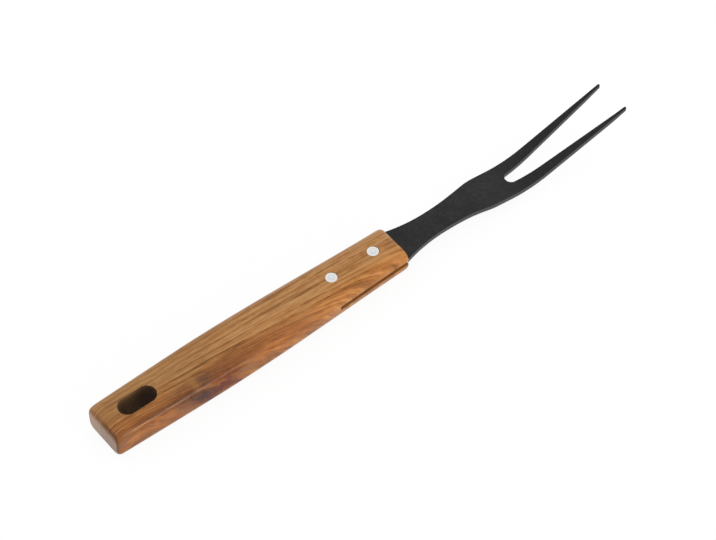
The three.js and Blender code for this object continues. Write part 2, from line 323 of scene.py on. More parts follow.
@dataclass(frozen=True)
class Spot:
    """A place in the handle's wood, as values in its node tree: from the butt, across and up.

    Its grain is its place across the grain, which stays the same along each line of the grain.
    """

    shader: Shader
    handle: "Handle"
    along: Signal
    y: Signal
    z: Signal
    grain: Signal | None = None

    @property
    def place(self) -> tuple[Signal, Signal, Signal]:
        """From the butt, across and up."""
        return self.along, self.y, self.z

    def patch(self, along: Span, across: Span) -> Signal:
        """One in a part of the handle, rising over a span along it and a span across it."""
        return self.shader.step(self.along, *along) * self.shader.step(self.y, *across)

    def depth(self) -> Signal:
        """Height over the handle's top, which falls off where it rounds to the ends.

        Returns:
            The height, below zero inside the wood.
        """
        from_ends = (self.along, self.handle.length - self.along)
        fall = 0.0
        for radius, from_end in zip((self.handle.butt_top, self.handle.front_top), from_ends):
            inside = (radius - from_end).above(0.0)
            fall = radius - (radius**2 - inside * inside).above(0.0).root() + fall
        return self.z - self.handle.thickness + fall


@dataclass(frozen=True)
class Layer:
    """One layer of unevenness in the wood, stretched along the fibres.

    Its fineness is in features for each millimetre along the fibres and across them.
    """

    along: float
    across: float
    seed: float
    weight: float

    def draw(self, spot: Spot) -> Signal:
        """The layer's share at a place, about zero."""
        place = spot.shader.vector(spot.along * self.along, spot.grain * self.across, self.seed)
        return (spot.shader.noise(place) - MEAN_NOISE) * self.weight


@dataclass(frozen=True)
class Rings:
    """Dark lines between growth rings, which darken slowly, end sharply and come and go.

    Their drift is in features for each reach along the grain and for each ring.
    """

    pitch: float
    wander: float
    reach: float
    seed: float
    weight: float
    drift: Span = (0.5, 0.4)
    rise: Span = (0.40, 0.86)
    fall: Span = (1.0, 0.92)
    shown: Span = (0.38, 0.64)

    def draw(self, spot: Spot) -> Signal:
        """How much darker the lines are than the wood between them.

        Args:
            spot: The place.

        Returns:
            The darkening.
        """
        shader = spot.shader
        rank = spot.grain / self.pitch
        run = spot.along / self.reach
        drift = shader.noise(shader.vector(run * self.drift[0], rank * self.drift[1], self.seed))
        turn = (rank + drift * self.wander).leftover()
        line = shader.step(turn, *self.rise) * shader.step(turn, *self.fall)
        presence = shader.noise(shader.vector(run, rank, -self.seed))
        return line * shader.step(presence, *self.shown) * self.weight


@dataclass(frozen=True)
class Figure:
    """One streak or patch in the grain, which fades out along the grain and across it.

    Its middle is given from the butt and in the grain's own measure across. Its length and width
    are halves, and its weight is how dark or red it is, or how light below zero.
    """

    along: float
    across: float
    length: float
    width: float
    weight: float

    def draw(self, spot: Spot) -> Signal:
        """The figure's weight at a place, fading to nothing from its middle."""
        offsets = (spot.along - self.along, spot.grain - self.across)
        return bell(offsets, (self.length, self.width)) * self.weight


@dataclass(frozen=True)
class ColourPatch:
    """A patch of colour on the wood: its middle, its half sizes, and its colour.

    The lean moves it forward for each millimetre downwards, and the drift moves it to the right for
    each millimetre forward.
    """

    middle: Place
    reach: Place
    colour: Colour
    weight: float
    lean: float = 0.0
    drift: float = 0.0

    def draw(self, spot: Spot) -> Signal:
        """The stain's weight at a place, fading to nothing from its middle.

        Args:
            spot: The place.

        Returns:
            The weight.
        """
        ahead, aside, up = (part - middle for part, middle in zip(spot.place, self.middle))
        offsets = (ahead + up * self.lean, aside + ahead * self.drift, up)
        return bell(offsets, self.reach) * self.weight


@dataclass(frozen=True)
class Grain:
    """The run of the grain: level at the butt, and fanning out to the right towards the front."""

    pith: float = 14.0
    fans_from: float = 20.0
    fan: float = 0.0042
    tilt: float = 0.18
    front_tilt: float = -0.06
    front_tilts: Span = (135.0, 188.0)
    left_tilt: float = -0.65
    left_tilts: Span = (-6.0, 12.0)
    bend: float = 0.22
    bends_along: Span = (162.0, 194.0)
    bends_across: Span = (-7.0, -13.0)
    sway: float = 2.0
    swaying: Mottle = Mottle((0.011, 0.04, 0.04))

    def across(self, spot: Spot) -> Signal:
        """Finds a place across the grain.

        Args:
            spot: The place, whose grain is not known yet.

        Returns:
            Millimetres across the grain at the butt, and a finer measure towards the front.
        """
        shader = spot.shader
        spread = ((spot.along - self.fans_from).above(0.0) * -self.fan).exp()
        sway = (self.swaying.draw(shader, spot.place) - MEAN_NOISE) * self.sway
        turned = self.front_tilt - self.tilt
        tilt = self.tilt + shader.step(spot.along, *self.front_tilts) * turned
        tilt = tilt + shader.step(spot.y, *self.left_tilts) * (self.left_tilt - tilt)
        across = (spot.y - self.pith + sway) * spread + spot.depth() * tilt
        return self.pith + across + spot.patch(self.bends_along, self.bends_across) * self.bend


@dataclass(frozen=True)
class Tints:
    """Shifts of the hue: warmer on the right, olive at the rear left, red and orange in places."""

    warm: Colour = (1.03, 0.89, 0.68)
    warm_across: Span = (2.0, -13.0)
    side: Colour = (1.0, 0.92, 0.66)
    side_along: Span = (165.0, 105.0)
    side_across: Span = (-12.0, -15.0)
    olive: Colour = (0.36, 0.205, 0.080)
    olive_along: Span = (105.0, 45.0)
    olive_across: Span = (-8.0, 4.0)
    olive_share: float = 0.3
    specks: Layer = Layer(0.05, 0.8, 7.7, 1.0)
    speck_range: Span = (0.06, 0.2)
    speck_share: float = 0.4
    red: Colour = (0.32, 0.105, 0.038)
    red_share: float = 0.9
    red_unevenness: float = 2.7
    orange: Colour = (0.50, 0.19, 0.042)
    glints: Layer = Layer(0.020, 0.9, 9.3, 1.0)
    glint_range: Span = (0.09, 0.20)
    glint_share: float = 0.4
    reds: tuple[Figure, ...] = (
        Figure(30, -12.5, 34, 3.0, 0.45),
        Figure(82, -7.0, 22, 4.0, 0.50),
        Figure(118, -3.5, 24, 2.6, 0.60),
        Figure(200, 7.6, 12, 0.7, 0.35),
    )

    def draw(self, spot: Spot, colour: Signal, uneven: Signal) -> Signal:
        """Tints the wood.

        Args:
            spot: The place.
            colour: The wood's colour.
            uneven: The unevenness of the red patches, about zero.

        Returns:
            The tinted colour.
        """
        shader = spot.shader
        right = shader.step(spot.y, *self.warm_across)
        colour = shader.blend(right, colour, self.warm, Blend.MULTIPLY)
        rear_side = spot.patch(self.side_along, self.side_across)
        colour = shader.blend(rear_side, colour, self.side, Blend.MULTIPLY)
        cast = spot.patch(self.olive_along, self.olive_across) * self.olive_share
        speck = shader.step(self.specks.draw(spot), *self.speck_range) * self.speck_share
        colour = shader.blend(cast + speck, colour, self.olive)
        redness = sum(patch.draw(spot) for patch in self.reds)
        share = redness * (self.red_share + uneven * self.red_unevenness)
        colour = shader.blend(share, colour, self.red)
        glint = shader.step(self.glints.draw(spot), *self.glint_range)
        return shader.blend(glint * self.glint_share, colour, self.orange)


@dataclass(frozen=True)
class EndGrain:
    """The cut fibres where the surface faces along the handle, with a painted highlight on their
    left, and the dark line round them.
    """

    # The pale end grain is partly its own colour and partly a painted reflection of the pale room
    # at a glancing view.
    pale: Colour = (0.40, 0.232, 0.146)
    dark: Colour = (0.23, 0.124, 0.077)
    facing: Span = (0.90, 0.99)
    level: float = -0.85
    left_highlight: float = 0.6
    left_highlight_across: Span = (-6.0, 12.0)
    speckles: Mottle = Mottle((1.0, 1.4, 1.4), 3.0, 0.6)
    speckle_seed: float = 1.0
    speckle_weight: float = 1.4
    rings: Mottle = Mottle((0.5, 1.0, 0.06))
    ring_seed: float = 5.0
    ring_weight: float = 0.8
    ring_tilt: float = Grain.tilt
    line_facing: float = 0.82
    line_width: float = 0.14
    line_share: float = 0.4
    line_right: float = 0.5
    line_across: Span = (8.0, -6.0)

    def draw(self, spot: Spot, colour: Signal) -> Signal:
        """Shows the cut fibres.

        Args:
            spot: The place.
            colour: The wood's colour.

        Returns:
            The colour with pale mottled ends, lighter on the left as a painted highlight, and a
            dark line round them, darker on the right.
        """
        shader, y, z = spot.shader, spot.y, spot.z
        facing = shader.facing("X")
        speckle = self.speckles.draw(shader, (self.speckle_seed, y, z))
        rings = self.rings.draw(shader, (y + z * self.ring_tilt, self.ring_seed, z - y))
        light = speckle * self.speckle_weight + rings * self.ring_weight + self.level
        # Painted highlight: the end grain lighter towards the left.
        light = light + shader.step(y, *self.left_highlight_across) * self.left_highlight
        cut = shader.blend(light, self.dark, self.pale)
        line = bell([facing - self.line_facing], [self.line_width])
        share = self.line_share + shader.step(y, *self.line_across) * self.line_right
        colour = shader.blend(line * share, colour, DARK_WOOD)
        return shader.blend(shader.step(facing, *self.facing), colour, cut)


@dataclass(frozen=True)
class Hollows:
    """Painted shade inside the hanging slot, deepest towards its front end, and the wood in the
    sawn slot.
    """

    # Painted shade inside the hanging slot: dark brown, near black towards its front end.
    slot_shade: Colour = (0.14, 0.077, 0.030)
    deep_slot_shade: Colour = (0.050, 0.028, 0.016)
    deep_shade_along: Span = (-4.0, 10.0)
    slot_shade_share: float = 0.9
    slot_brink: Span = (0.45, 0.05)
    face_brink: Span = (0.2, -0.6)
    raw: Colour = (0.42, 0.185, 0.055)
    saw_share: float = 0.8
    saw_brink: Span = (0.15, -0.05)

    def draw(self, spot: Spot, colour: Signal) -> tuple[Signal, Signal]:
        """Paints shade into the hanging slot and colours the sawn slot.

        Args:
            spot: The place.
            colour: The wood's colour.

        Returns:
            The colour with the hollows, and one on the hanging slot's wall, where shade is painted,
            and nothing outside.
        """
        shader, handle = spot.shader, spot.handle
        off_middle = abs(spot.z - handle.middle)
        ahead = spot.along - handle.slot_middle
        past = (abs(ahead) - handle.slot_reach).above(0.0)
        from_axis = (past * past + spot.y * spot.y).root()
        slot = shader.within(from_axis, handle.slot_width / 2, self.slot_brink)
        slot = slot * shader.within(off_middle, handle.middle, self.face_brink)
        # Painted shade in the hanging slot, deepest towards its front end.
        inside = shader.blend(shader.step(ahead, *self.deep_shade_along), self.slot_shade, self.deep_slot_shade)
        colour = shader.blend(slot * self.slot_shade_share, colour, inside)
        from_saw = ((spot.along - handle.saw_middle) ** 2.0 + spot.y * spot.y).root()
        sawn = shader.within(off_middle, handle.saw_width / 2, self.saw_brink)
        sawn = sawn * shader.within(from_saw, handle.saw_radius, self.saw_brink)
        return shader.blend(sawn * self.saw_share, colour, self.raw), slot


@dataclass(frozen=True)
class OiledWood:
    """Oiled hardwood with a lengthwise grain, stains round a small knot in its right side, and
    painted shade and highlight in places.
    """

    handle: "Handle"
    rear_tone: float = 0.645
    front_tone: float = 0.105
    front: Span = (50.0, 190.0)
    side_tone: float = -0.12
    side_along: Span = (150.0, 85.0)
    side_across: Span = (-2.0, -14.0)
    stops: tuple[tuple[float, Colour], ...] = (
        (0.15, DARK_WOOD),
        (0.38, (0.265, 0.111, 0.031)),
        (0.56, (0.43, 0.182, 0.052)),
        (0.80, (0.58, 0.305, 0.120)),
    )
    grain: Grain = Grain()
    tints: Tints = Tints()
    ends: EndGrain = EndGrain()
    hollows: Hollows = Hollows()
    broad: Layer = Layer(0.007, 0.26, 1.3, 0.32)
    bands: Layer = Layer(0.009, 0.62, 4.7, 0.50)
    fine: Layer = Layer(0.020, 1.2, 8.1, 0.58)
    fibre: Layer = Layer(0.06, 2.4, 2.2, 0.56)
    fleck: Layer = Layer(0.22, 0.9, 5.5, 0.40)
    pores: Layer = Layer(0.14, 6.5, 2.9, 1.0)
    pore_range: Span = (0.08, 0.20)
    pore_weight: float = 0.10
    streak_unevenness: float = 3.4
    blotches: Mottle = Mottle((0.3, 0.3, 0.4), 3.0)
    blotchiness: float = 1.8
    bump: float = 0.3
    bump_depth: float = 0.15
    pore_depth: float = 0.5
    roughness: float = 0.30
    fibre_roughness: float = 0.3
    pore_roughness: float = 0.1
    slot_roughness: float = 0.5
    specular: float = 0.2
    rings: tuple[Rings, ...] = (
        Rings(3.1, 1.6, 50.0, 3.7, 0.17),
        Rings(1.7, 1.4, 36.0, 6.1, 0.15),
        Rings(0.75, 1.2, 30.0, 8.9, 0.12),
    )
    streaks: tuple[Figure, ...] = (
        Figure(30, -11.8, 36, 2.4, 0.10),
        Figure(78, -5.2, 22, 3.6, 0.09),
        Figure(75, -0.4, 45, 0.6, 0.16),
        Figure(66, 7.0, 16, 0.8, 0.14),
        Figure(12, 8.4, 18, 0.6, 0.12),
        Figure(168, -0.55, 16, 0.32, 0.06),
        Figure(138, 2.6, 20, 0.45, 0.12),
        Figure(182, 7.5, 18, 0.35, 0.07),
        Figure(200, 6.2, 15, 0.30, 0.12),
        Figure(118, 7.2, 22, 0.5, 0.12),
        Figure(128, 11.3, 10, 0.8, 0.13),
        Figure(179, 11.3, 7, 0.4, 0.13),
        Figure(107, -0.5, 22, 2.0, -0.11),
        Figure(122, 9.1, 16, 1.0, -0.10),
        Figure(160, 8.1, 14, 0.8, -0.10),
        Figure(150, 3.2, 16, 1.6, -0.07),
        Figure(188, 5.0, 18, 0.9, -0.08),
        Figure(174, 10.1, 16, 0.6, 0.12),
        Figure(24, -6.0, 14, 2.2, 0.10),
        Figure(4, -2.0, 8, 2.0, 0.10),
        Figure(16, 6.6, 16, 1.4, 0.07),
        Figure(130, 4.6, 20, 1.4, -0.08),
        Figure(98, 10.8, 30, 1.0, -0.07),
        Figure(192, 3.0, 12, 0.6, -0.08),
        Figure(177, 6.9, 14, 0.8, -0.09),
        Figure(112, -4.5, 16, 1.6, 0.06),
        Figure(132, -6.5, 18, 2.0, 0.09),
    )
    stains_and_shade: tuple[ColourPatch, ...] = (
        ColourPatch((56, -10.5, 20), (22, 3.4, 3), (0.18, 0.078, 0.034), 0.5),
        # Painted shade: a dark line along the rounding of the right top edge, which follows the
        # edge and not the grain.
        ColourPatch((45, -13.75, 18.7), (40, 1.0, 1.6), (0.12, 0.045, 0.016), 0.7, drift=0.019),
        ColourPatch((47, -15.5, 14), (8, 5, 4), (0.19, 0.064, 0.022), 0.65),
        ColourPatch((40, -16, 5.5), (52, 4, 7), (0.20, 0.068, 0.014), 0.45),
        ColourPatch((72, -16, 10.5), (12, 6, 8), (0.135, 0.018, 0.001), 1.0),
        ColourPatch((3, -14.5, 12), (7, 4, 8), (0.20, 0.085, 0.035), 0.45),
        ColourPatch((57, -16, 12), (8, 6, 7.5), (0.050, 0.010, 0.004), 1.1, lean=0.8),
        ColourPatch((61, -15, 7), (3.5, 6, 3.5), (0.12, 0.026, 0.022), 0.7),
        ColourPatch((61, -11.5, 20), (5, 3, 3), (0.11, 0.060, 0.040), 0.7),
        ColourPatch((55, -10.5, 20), (2.6, 6, 5), (0.42, 0.21, 0.065), 0.5),
        ColourPatch((165, -14.5, 4.5), (60, 5, 4.5), (0.24, 0.135, 0.075), 0.5),
    )

    def tone(self, spot: Spot, bands: Signal, fibre: Signal, pore: Signal) -> Signal:
        """How light the wood is.

        Args:
            spot: The place.
            bands: The layer of bands there.
            fibre: The layer of fibres there.
            pore: Where a pore is cut open lengthwise.

        Returns:
            The place on the ramp from dark to pale.
        """
        front = spot.shader.step(spot.along, *self.front)
        side = spot.patch(self.side_along, self.side_across)
        tone = self.rear_tone + front * self.front_tone + side * self.side_tone
        tone = tone + bands + fibre
        tone = tone + sum(layer.draw(spot) for layer in (self.broad, self.fine, self.fleck))
        tone = tone - sum(rings.draw(spot) for rings in self.rings) - pore * self.pore_weight
        streaks = sum(streak.draw(spot) for streak in self.streaks)
        return tone - streaks * (1.0 + bands * self.streak_unevenness)

    def material(self) -> bpy.types.Material:
        """Draws the finish.

        Returns:
            The material.
        """
        shader = Shader.named(Slot.WOOD.value)
        x, y, z = shader.millimetres()
        spot = Spot(shader, self.handle, x - self.handle.butt, y, z)
        spot = replace(spot, grain=self.grain.across(spot))
        bands, fibre = self.bands.draw(spot), self.fibre.draw(spot)
        pore = shader.step(self.pores.draw(spot), *self.pore_range)
        tone = self.tone(spot, bands, fibre, pore)
        colour = shader.add("ValToRGB", {"stops": self.stops}, {"Fac": tone})
        colour = self.tints.draw(spot, colour, bands)
        blotch = self.blotches.draw(shader, spot.place) - MEAN_NOISE
        for colour_patch in self.stains_and_shade:
            share = colour_patch.draw(spot) * (1.0 + blotch * self.blotchiness)
            colour = shader.blend(share, colour, colour_patch.colour)
        colour = self.ends.draw(spot, colour)
        colour, slot = self.hollows.draw(spot, colour)
        rough = self.roughness + fibre * self.fibre_roughness + pore * self.pore_roughness
        height = fibre - pore * self.pore_depth
        return shader.surface(
            {
                "Base Color": colour,
                "Roughness": rough + slot * self.slot_roughness,
                "Specular IOR Level": self.specular,
                "Normal": shader.bump(height, self.bump, self.bump_depth),
            }
        )


@dataclass(frozen=True)
class BlackSteel:
    """Matt black coated steel with an uneven skin, blackest on the tines, with painted reflection
    on its sides and painted highlight on its edges.
    """

    black: Colour = (0.0008, 0.0008, 0.0009)
    grey: Colour = (0.021, 0.021, 0.0218)
    # Painted reflection: the plate's sides lighter than its faces.
    edge: Colour = (0.034, 0.034, 0.035)
    # Painted highlight: a light band along the rounds between the faces and the sides.
    painted_band: Colour = (0.10, 0.10, 0.102)
    reflection_facing: Span = (0.92, 0.55)
    highlight_facing: float = 0.74
    painted_band_width: float = 0.09
    highlight_share: float = 0.3
    level: float = 0.26
    tines: Span = (80.0, 150.0)
    tine_weight: float = 0.30
    mottle: Mottle = Mottle((0.40, 0.40, 0.40), 3.0, 0.6, tone=2.2, dullness=0.22, height=0.7)
    grit: Mottle = Mottle((1.4, 1.4, 1.4), tone=2.0, dullness=0.12, height=0.3)
    cloud: Mottle = Mottle((0.05, 0.08, 0.08), tone=1.0)
    bump: float = 0.5
    bump_depth: float = 0.3
    roughness: float = 0.32
    specular: float = 0.39

    def material(self) -> bpy.types.Material:
        """Draws the finish.

        Returns:
            The material.
        """
        shader = Shader.named(Slot.STEEL.value)
        place = shader.millimetres()
        skins = (self.mottle, self.grit, self.cloud)
        drawn = [(skin, skin.draw(shader, place)) for skin in skins]
        share = self.level + sum((blotch - MEAN_NOISE) * skin.tone for skin, blotch in drawn)
        share = share - shader.step(place[0], *self.tines) * self.tine_weight
        colour = shader.blend(share, self.black, self.grey)
        facing = shader.facing("Z")
        # Painted reflection on the sides.
        colour = shader.blend(shader.step(facing, *self.reflection_facing), colour, self.edge)
        # Painted highlight along the edge rounds.
        edge_highlight = bell([facing - self.highlight_facing], [self.painted_band_width])
        colour = shader.blend(edge_highlight * (self.highlight_share + drawn[0][1]), colour, self.painted_band)
        height = sum(blotch * skin.height for skin, blotch in drawn)
        rough = self.roughness + sum(blotch * skin.dullness for skin, blotch in drawn)
        return shader.surface(
            {
                "Base Color": colour,
                "Roughness": rough,
                "Specular IOR Level": self.specular,
                "Normal": shader.bump(height, self.bump, self.bump_depth),
            }
        )


@dataclass(frozen=True)
class TurnedAluminium:
    """Bright aluminium with fine rings from the lathe, and a ring of painted shade round its
    middle.
    """

    bright: Colour = (0.99, 0.99, 0.985)
    dull_and_shaded: Colour = (0.80, 0.81, 0.83)
    level: float = 1.05
    # Painted shade: a darker ring round the middle of the head.
    shade_ring_radius: float = 1.55
    painted_band_width: float = 0.70
    shade_ring_weight: float = 0.75
    rings: Mottle = Mottle((7.0, 1.0, 0.2), tone=0.8, dullness=0.1)
    smear: Mottle = Mottle((0.6, 0.6, 1.0), tone=0.8, dullness=0.08)
    roughness: float = 0.26

    def material(self, centre: float) -> bpy.types.Material:
        """Draws the finish for one rivet.

        Args:
            centre: The rivet's place along X, in millimetres.

        Returns:
            The material.
        """
        shader = Shader.named(Slot.RIVET.value)
        x, y, z = shader.millimetres()
        radius = ((x - centre) ** 2.0 + y**2.0).root()
        places = ((self.rings, (radius, 0.0, z)), (self.smear, (x, y, z)))
        drawn = [(skin, skin.draw(shader, place)) for skin, place in places]
        # Painted shade: a darker ring round the middle of the head.
        painted_band = bell([radius - self.shade_ring_radius], [self.painted_band_width]) * self.shade_ring_weight
        share = self.level + sum((blotch - MEAN_NOISE) * skin.tone for skin, blotch in drawn) - painted_band
        rough = self.roughness + sum(blotch * skin.dullness for skin, blotch in drawn)
        colour = shader.blend(share, self.dull_and_shaded, self.bright)
        return shader.surface({"Base Color": colour, "Metallic": 1.0, "Roughness": rough})


# Bench work


def chord(radius: float, offset: float) -> float:
    """Half the chord of a circle at an offset from its centre, or nothing outside it."""
    return math.sqrt(max(0.0, radius**2 - offset**2))


def smoothstep(share: float) -> float:
    """A share from nothing to one, eased at both ends."""
    return share * share * (3 - 2 * share)


def clear_selection() -> None:
    """Leaves nothing selected, so that an operator acts on new work alone."""
    if bpy.context.object and bpy.context.object.mode != "OBJECT":
        bpy.ops.object.mode_set(mode="OBJECT")
    bpy.ops.object.select_all(action="DESELECT")


class Workpiece:
    """A mesh on the bench. Its vertices are picked by place and worked on with operators."""

    def __init__(self, name: str) -> None:
        """Takes up the primitive that has just been added, with its place put into its mesh.

        Args:
            name: The piece's name.
        """
        self.obj = bpy.context.object
        self.obj.name = name
        self.obj.data.name = name
        bpy.ops.object.transform_apply(location=True, rotation=True, scale=True)
        bpy.ops.object.mode_set(mode="EDIT")
        bpy.ops.mesh.select_mode(type="VERT")

    def pick(self, chosen: Callable[[Vector], bool]) -> None:
        """Selects vertices by their place, and the edges and faces between them.

        Args:
            chosen: Says for a place in millimetres whether it is taken.
        """
        mesh = bmesh.from_edit_mesh(self.obj.data)
        taken = [v for v in mesh.verts if chosen(v.co / MM)]
        bpy.ops.mesh.select_all(action="DESELECT")
        for vert in taken:
            vert.select_set(True)
        mesh.select_flush(True)
        bmesh.update_edit_mesh(self.obj.data, loop_triangles=False, destructive=False)

    def pick_at(self, x: float, chosen: Callable[[Vector], bool] = lambda place: True) -> None:
        """Selects vertices at a station along the fork, all or those that are chosen."""
        self.pick(lambda place: abs(place.x - x) < TOUCH and chosen(place))

    def pick_edges(self, chosen: Callable[[Vector, Vector], bool]) -> None:
        """Selects edges by the places of their ends.

        Args:
            chosen: Says for two places in millimetres whether the edge is taken.
        """
        bpy.ops.mesh.select_mode(type="EDGE")
        bpy.ops.mesh.select_all(action="DESELECT")
        mesh = bmesh.from_edit_mesh(self.obj.data)
        for edge in mesh.edges:
            if chosen(edge.verts[0].co / MM, edge.verts[1].co / MM):
                edge.select_set(True)
        bmesh.update_edit_mesh(self.obj.data, loop_triangles=False, destructive=False)

    def gather(self) -> None:
        """Merges the whole mesh into one vertex in its middle."""
        bpy.ops.mesh.select_all(action="SELECT")
        bpy.ops.mesh.merge(type="CENTER")

    def extrude(self, x: float = 0.0, y: float = 0.0, z: float = 0.0) -> None:
        """Extrudes what is selected by a move in millimetres, and leaves the new end selected."""
        bpy.ops.mesh.extrude_region_move(TRANSFORM_OT_translate={"value": (x * MM, y * MM, z * MM)})

    def move(self, x: float = 0.0, y: float = 0.0, z: float = 0.0) -> None:
        """Moves what is selected, in millimetres."""
        bpy.ops.transform.translate(value=(x * MM, y * MM, z * MM))

    def resize(self, scale: float, y: float, z: float) -> None:
        """Scales what is selected across the fork, about a place in millimetres."""
        bpy.ops.transform.resize(value=(1, scale, scale), center_override=(0, y * MM, z * MM))

    def bevel(self, width: float, segments: int, corners: bool = False) -> None:
        """Rounds what is selected.

        Args:
            width: How much is taken off, in millimetres.
            segments: How many faces make the round.
            corners: Whether corners are rounded and not edges.
        """
        affect = "VERTICES" if corners else "EDGES"
        bpy.ops.mesh.bevel(
            offset=width * MM, segments=segments, profile=ROUND, affect=affect, clamp_overlap=True
        )

    def close(self) -> None:
        """Merges doubled vertices and turns all faces outwards."""
        bpy.ops.mesh.select_mode(type="VERT")
        bpy.ops.mesh.select_all(action="SELECT")
        bpy.ops.mesh.remove_doubles(threshold=WELD)
        bpy.ops.mesh.normals_make_consistent(inside=False)

    def lay_down(self) -> None:
        """Ends edit mode, with the piece alone selected."""
        bpy.ops.object.mode_set(mode="OBJECT")
        clear_selection()
        self.obj.select_set(True)
        bpy.context.view_layer.objects.active = self.obj

    def take_up(self) -> None:
        """Starts edit mode again."""
        bpy.ops.object.mode_set(mode="EDIT")

    def modify(self, kind: str, **settings: Any) -> None:
        """Adds a modifier and applies it.

        Args:
            kind: The modifier's type.
            settings: Its properties.
        """
        self.lay_down()
        bpy.ops.object.modifier_add(type=kind)
        modifier = self.obj.modifiers[-1]
        for key, value in settings.items():
            setattr(modifier, key, value)
        bpy.ops.object.modifier_apply(modifier=modifier.name)

    def cut(self, cutter: "Workpiece") -> None:
        """Takes a cutter's volume out of the piece and removes the cutter.

        Args:
            cutter: The cutter.
        """
        cutter.lay_down()
        self.modify("BOOLEAN", operation="DIFFERENCE", solver="EXACT", object=cutter.obj)
        bpy.data.objects.remove(cutter.obj)

    def smooth(self, angle: float) -> bpy.types.Object:
        """Shades the finished piece smooth across edges flatter than an angle in degrees.

        Args:
            angle: The angle.

        Returns:
            The finished object.
        """
        self.lay_down()
        bpy.ops.object.shade_smooth_by_angle(angle=math.radians(angle))
        self.modify("WEIGHTED_NORMAL", keep_sharp=True, weight=NORMAL_WEIGHT)
        return self.obj


def drilling(name: str, x: float, low: float, high: float, radius: float) -> Workpiece:
    """A round upright cutter on the fork's middle plane.

    Args:
        name: Its name.
        x: Its place along the fork, in millimetres.
        low: Where it starts.
        high: Where it ends.
        radius: Its radius.

    Returns:
        The cutter.
    """
    clear_selection()
    bpy.ops.mesh.primitive_cylinder_add(
        vertices=DRILL_SIDES,
        radius=radius * MM,
        depth=(high - low) * MM,
        location=(x * MM, 0, (low + high) / 2 * MM),
    )
    return Workpiece(name)


def hand_over(obj: bpy.types.Object, slot: Slot, *nodes: str) -> None:
    """Puts a finished piece on its body and in place of its CAD nodes.

    Args:
        obj: The piece.
        slot: The record's slot that its finish comes from; not used.
        nodes: The CAD nodes that it stands for.
    """
    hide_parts(*nodes)
    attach(obj, BODY)
    log.info("%s: %d faces, in place of %s", obj.name, len(obj.data.polygons), ", ".join(nodes))


# Sub-assemblies


@dataclass
class Rivet:
    """One cutler's rivet, a male and a female half with equal heads."""

    name: str
    x: float
    handle_thickness: float
    head_radius: float = 3.7
    head_thickness: float = 1.5
    crown: float = 0.25
    groove: float = 0.06
    groove_place: float = 0.56
    groove_width: float = 0.2
    face_steps: int = 14
    rim_round: float = 0.22
    rim_steps: int = 4
    shank_radius: float = 1.5
    shank_spare: float = 5.0
    barrel_radius: float = 2.4
    barrel_spare: float = 3.0
    bore_gap: float = 0.05
    bore_spare: float = 1.0
    hole_gap: float = 0.1
    seat_gap: float = 0.1
    sides: int = 72
    smooth_angle: float = 40.0

    def drill(self, piece: Workpiece, seats: bool) -> None:
        """Drills the rivet's hole through a piece.

        Args:
            piece: What is drilled.
            seats: Whether the heads are let in as well.
        """
        low, high = -CUT_OVER, self.handle_thickness + CUT_OVER
        piece.cut(drilling("drill", self.x, low, high, self.barrel_radius + self.hole_gap))
        if seats:
            deep = self.head_thickness + self.seat_gap
            seat = self.head_radius + self.hole_gap
            piece.cut(drilling("seat", self.x, low, deep, seat))
            piece.cut(drilling("seat", self.x, self.handle_thickness - deep, high, seat))

    def profile(self, half: RivetHalf) -> list[tuple[float, float]]:
        """The half's outline from the middle of its face round to its axis again.

        Args:
            half: Which half.

        Returns:
            Radii and heights, with the face at height zero and the shank below it.
        """
        rim = self.head_radius - self.rim_round
        under = -self.head_thickness
        outline = []
        for k in range(self.face_steps + 1):
            share = k / self.face_steps
            groove = math.exp(-(((share - self.groove_place) / self.groove_width) ** 2))
            outline.append((rim * share, -self.crown * share**2 - self.groove * groove))
        for k in range(1, self.rim_steps + 1):
            angle = math.pi / 2 * k / self.rim_steps
            fall = self.rim_round * (1 - math.cos(angle))
            outline.append((rim + self.rim_round * math.sin(angle), -self.crown - fall))
        outline.append((self.head_radius, under))
        if half is RivetHalf.UPPER:
            end = self.head_thickness + self.shank_spare - self.handle_thickness
            shank = self.shank_radius
            return outline + [(shank, under), (shank, end), (0.0, end)]
        bore = self.shank_radius + self.bore_gap
        end = self.head_thickness + self.barrel_spare - self.handle_thickness
        floor = self.bore_spare - self.shank_spare - self.head_thickness
        barrel = self.barrel_radius
        return outline + [(barrel, under), (barrel, end), (bore, end), (bore, floor), (0.0, floor)]

    def build(self, half: RivetHalf) -> bpy.types.Object:
        """Turns one half: its outline is drawn point by point and spun round the rivet's axis.

        Args:
            half: Which half.

        Returns:
            The finished object.
        """
        upper = half is RivetHalf.UPPER
        face = self.handle_thickness if upper else 0.0
        way = 1.0 if upper else -1.0
        clear_selection()
        bpy.ops.mesh.primitive_plane_add(size=MM, location=(self.x * MM, 0, face * MM))
        piece = Workpiece(f"{self.name}_rivet_{half.name.lower()}")
        piece.gather()
        outline = self.profile(half)
        for before, after in zip(outline, outline[1:]):
            piece.extrude(x=after[0] - before[0], z=way * (after[1] - before[1]))
        bpy.ops.mesh.select_all(action="SELECT")
        bpy.ops.mesh.spin(
            steps=self.sides, angle=math.tau, center=(self.x * MM, 0, 0), axis=(0, 0, 1)
        )
        piece.close()
        return piece.smooth(self.smooth_angle)

    def dress(self, obj: bpy.types.Object, finish: TurnedAluminium) -> None:
        """Gives a half its finish."""
        obj.data.materials.append(finish.material(self.x))


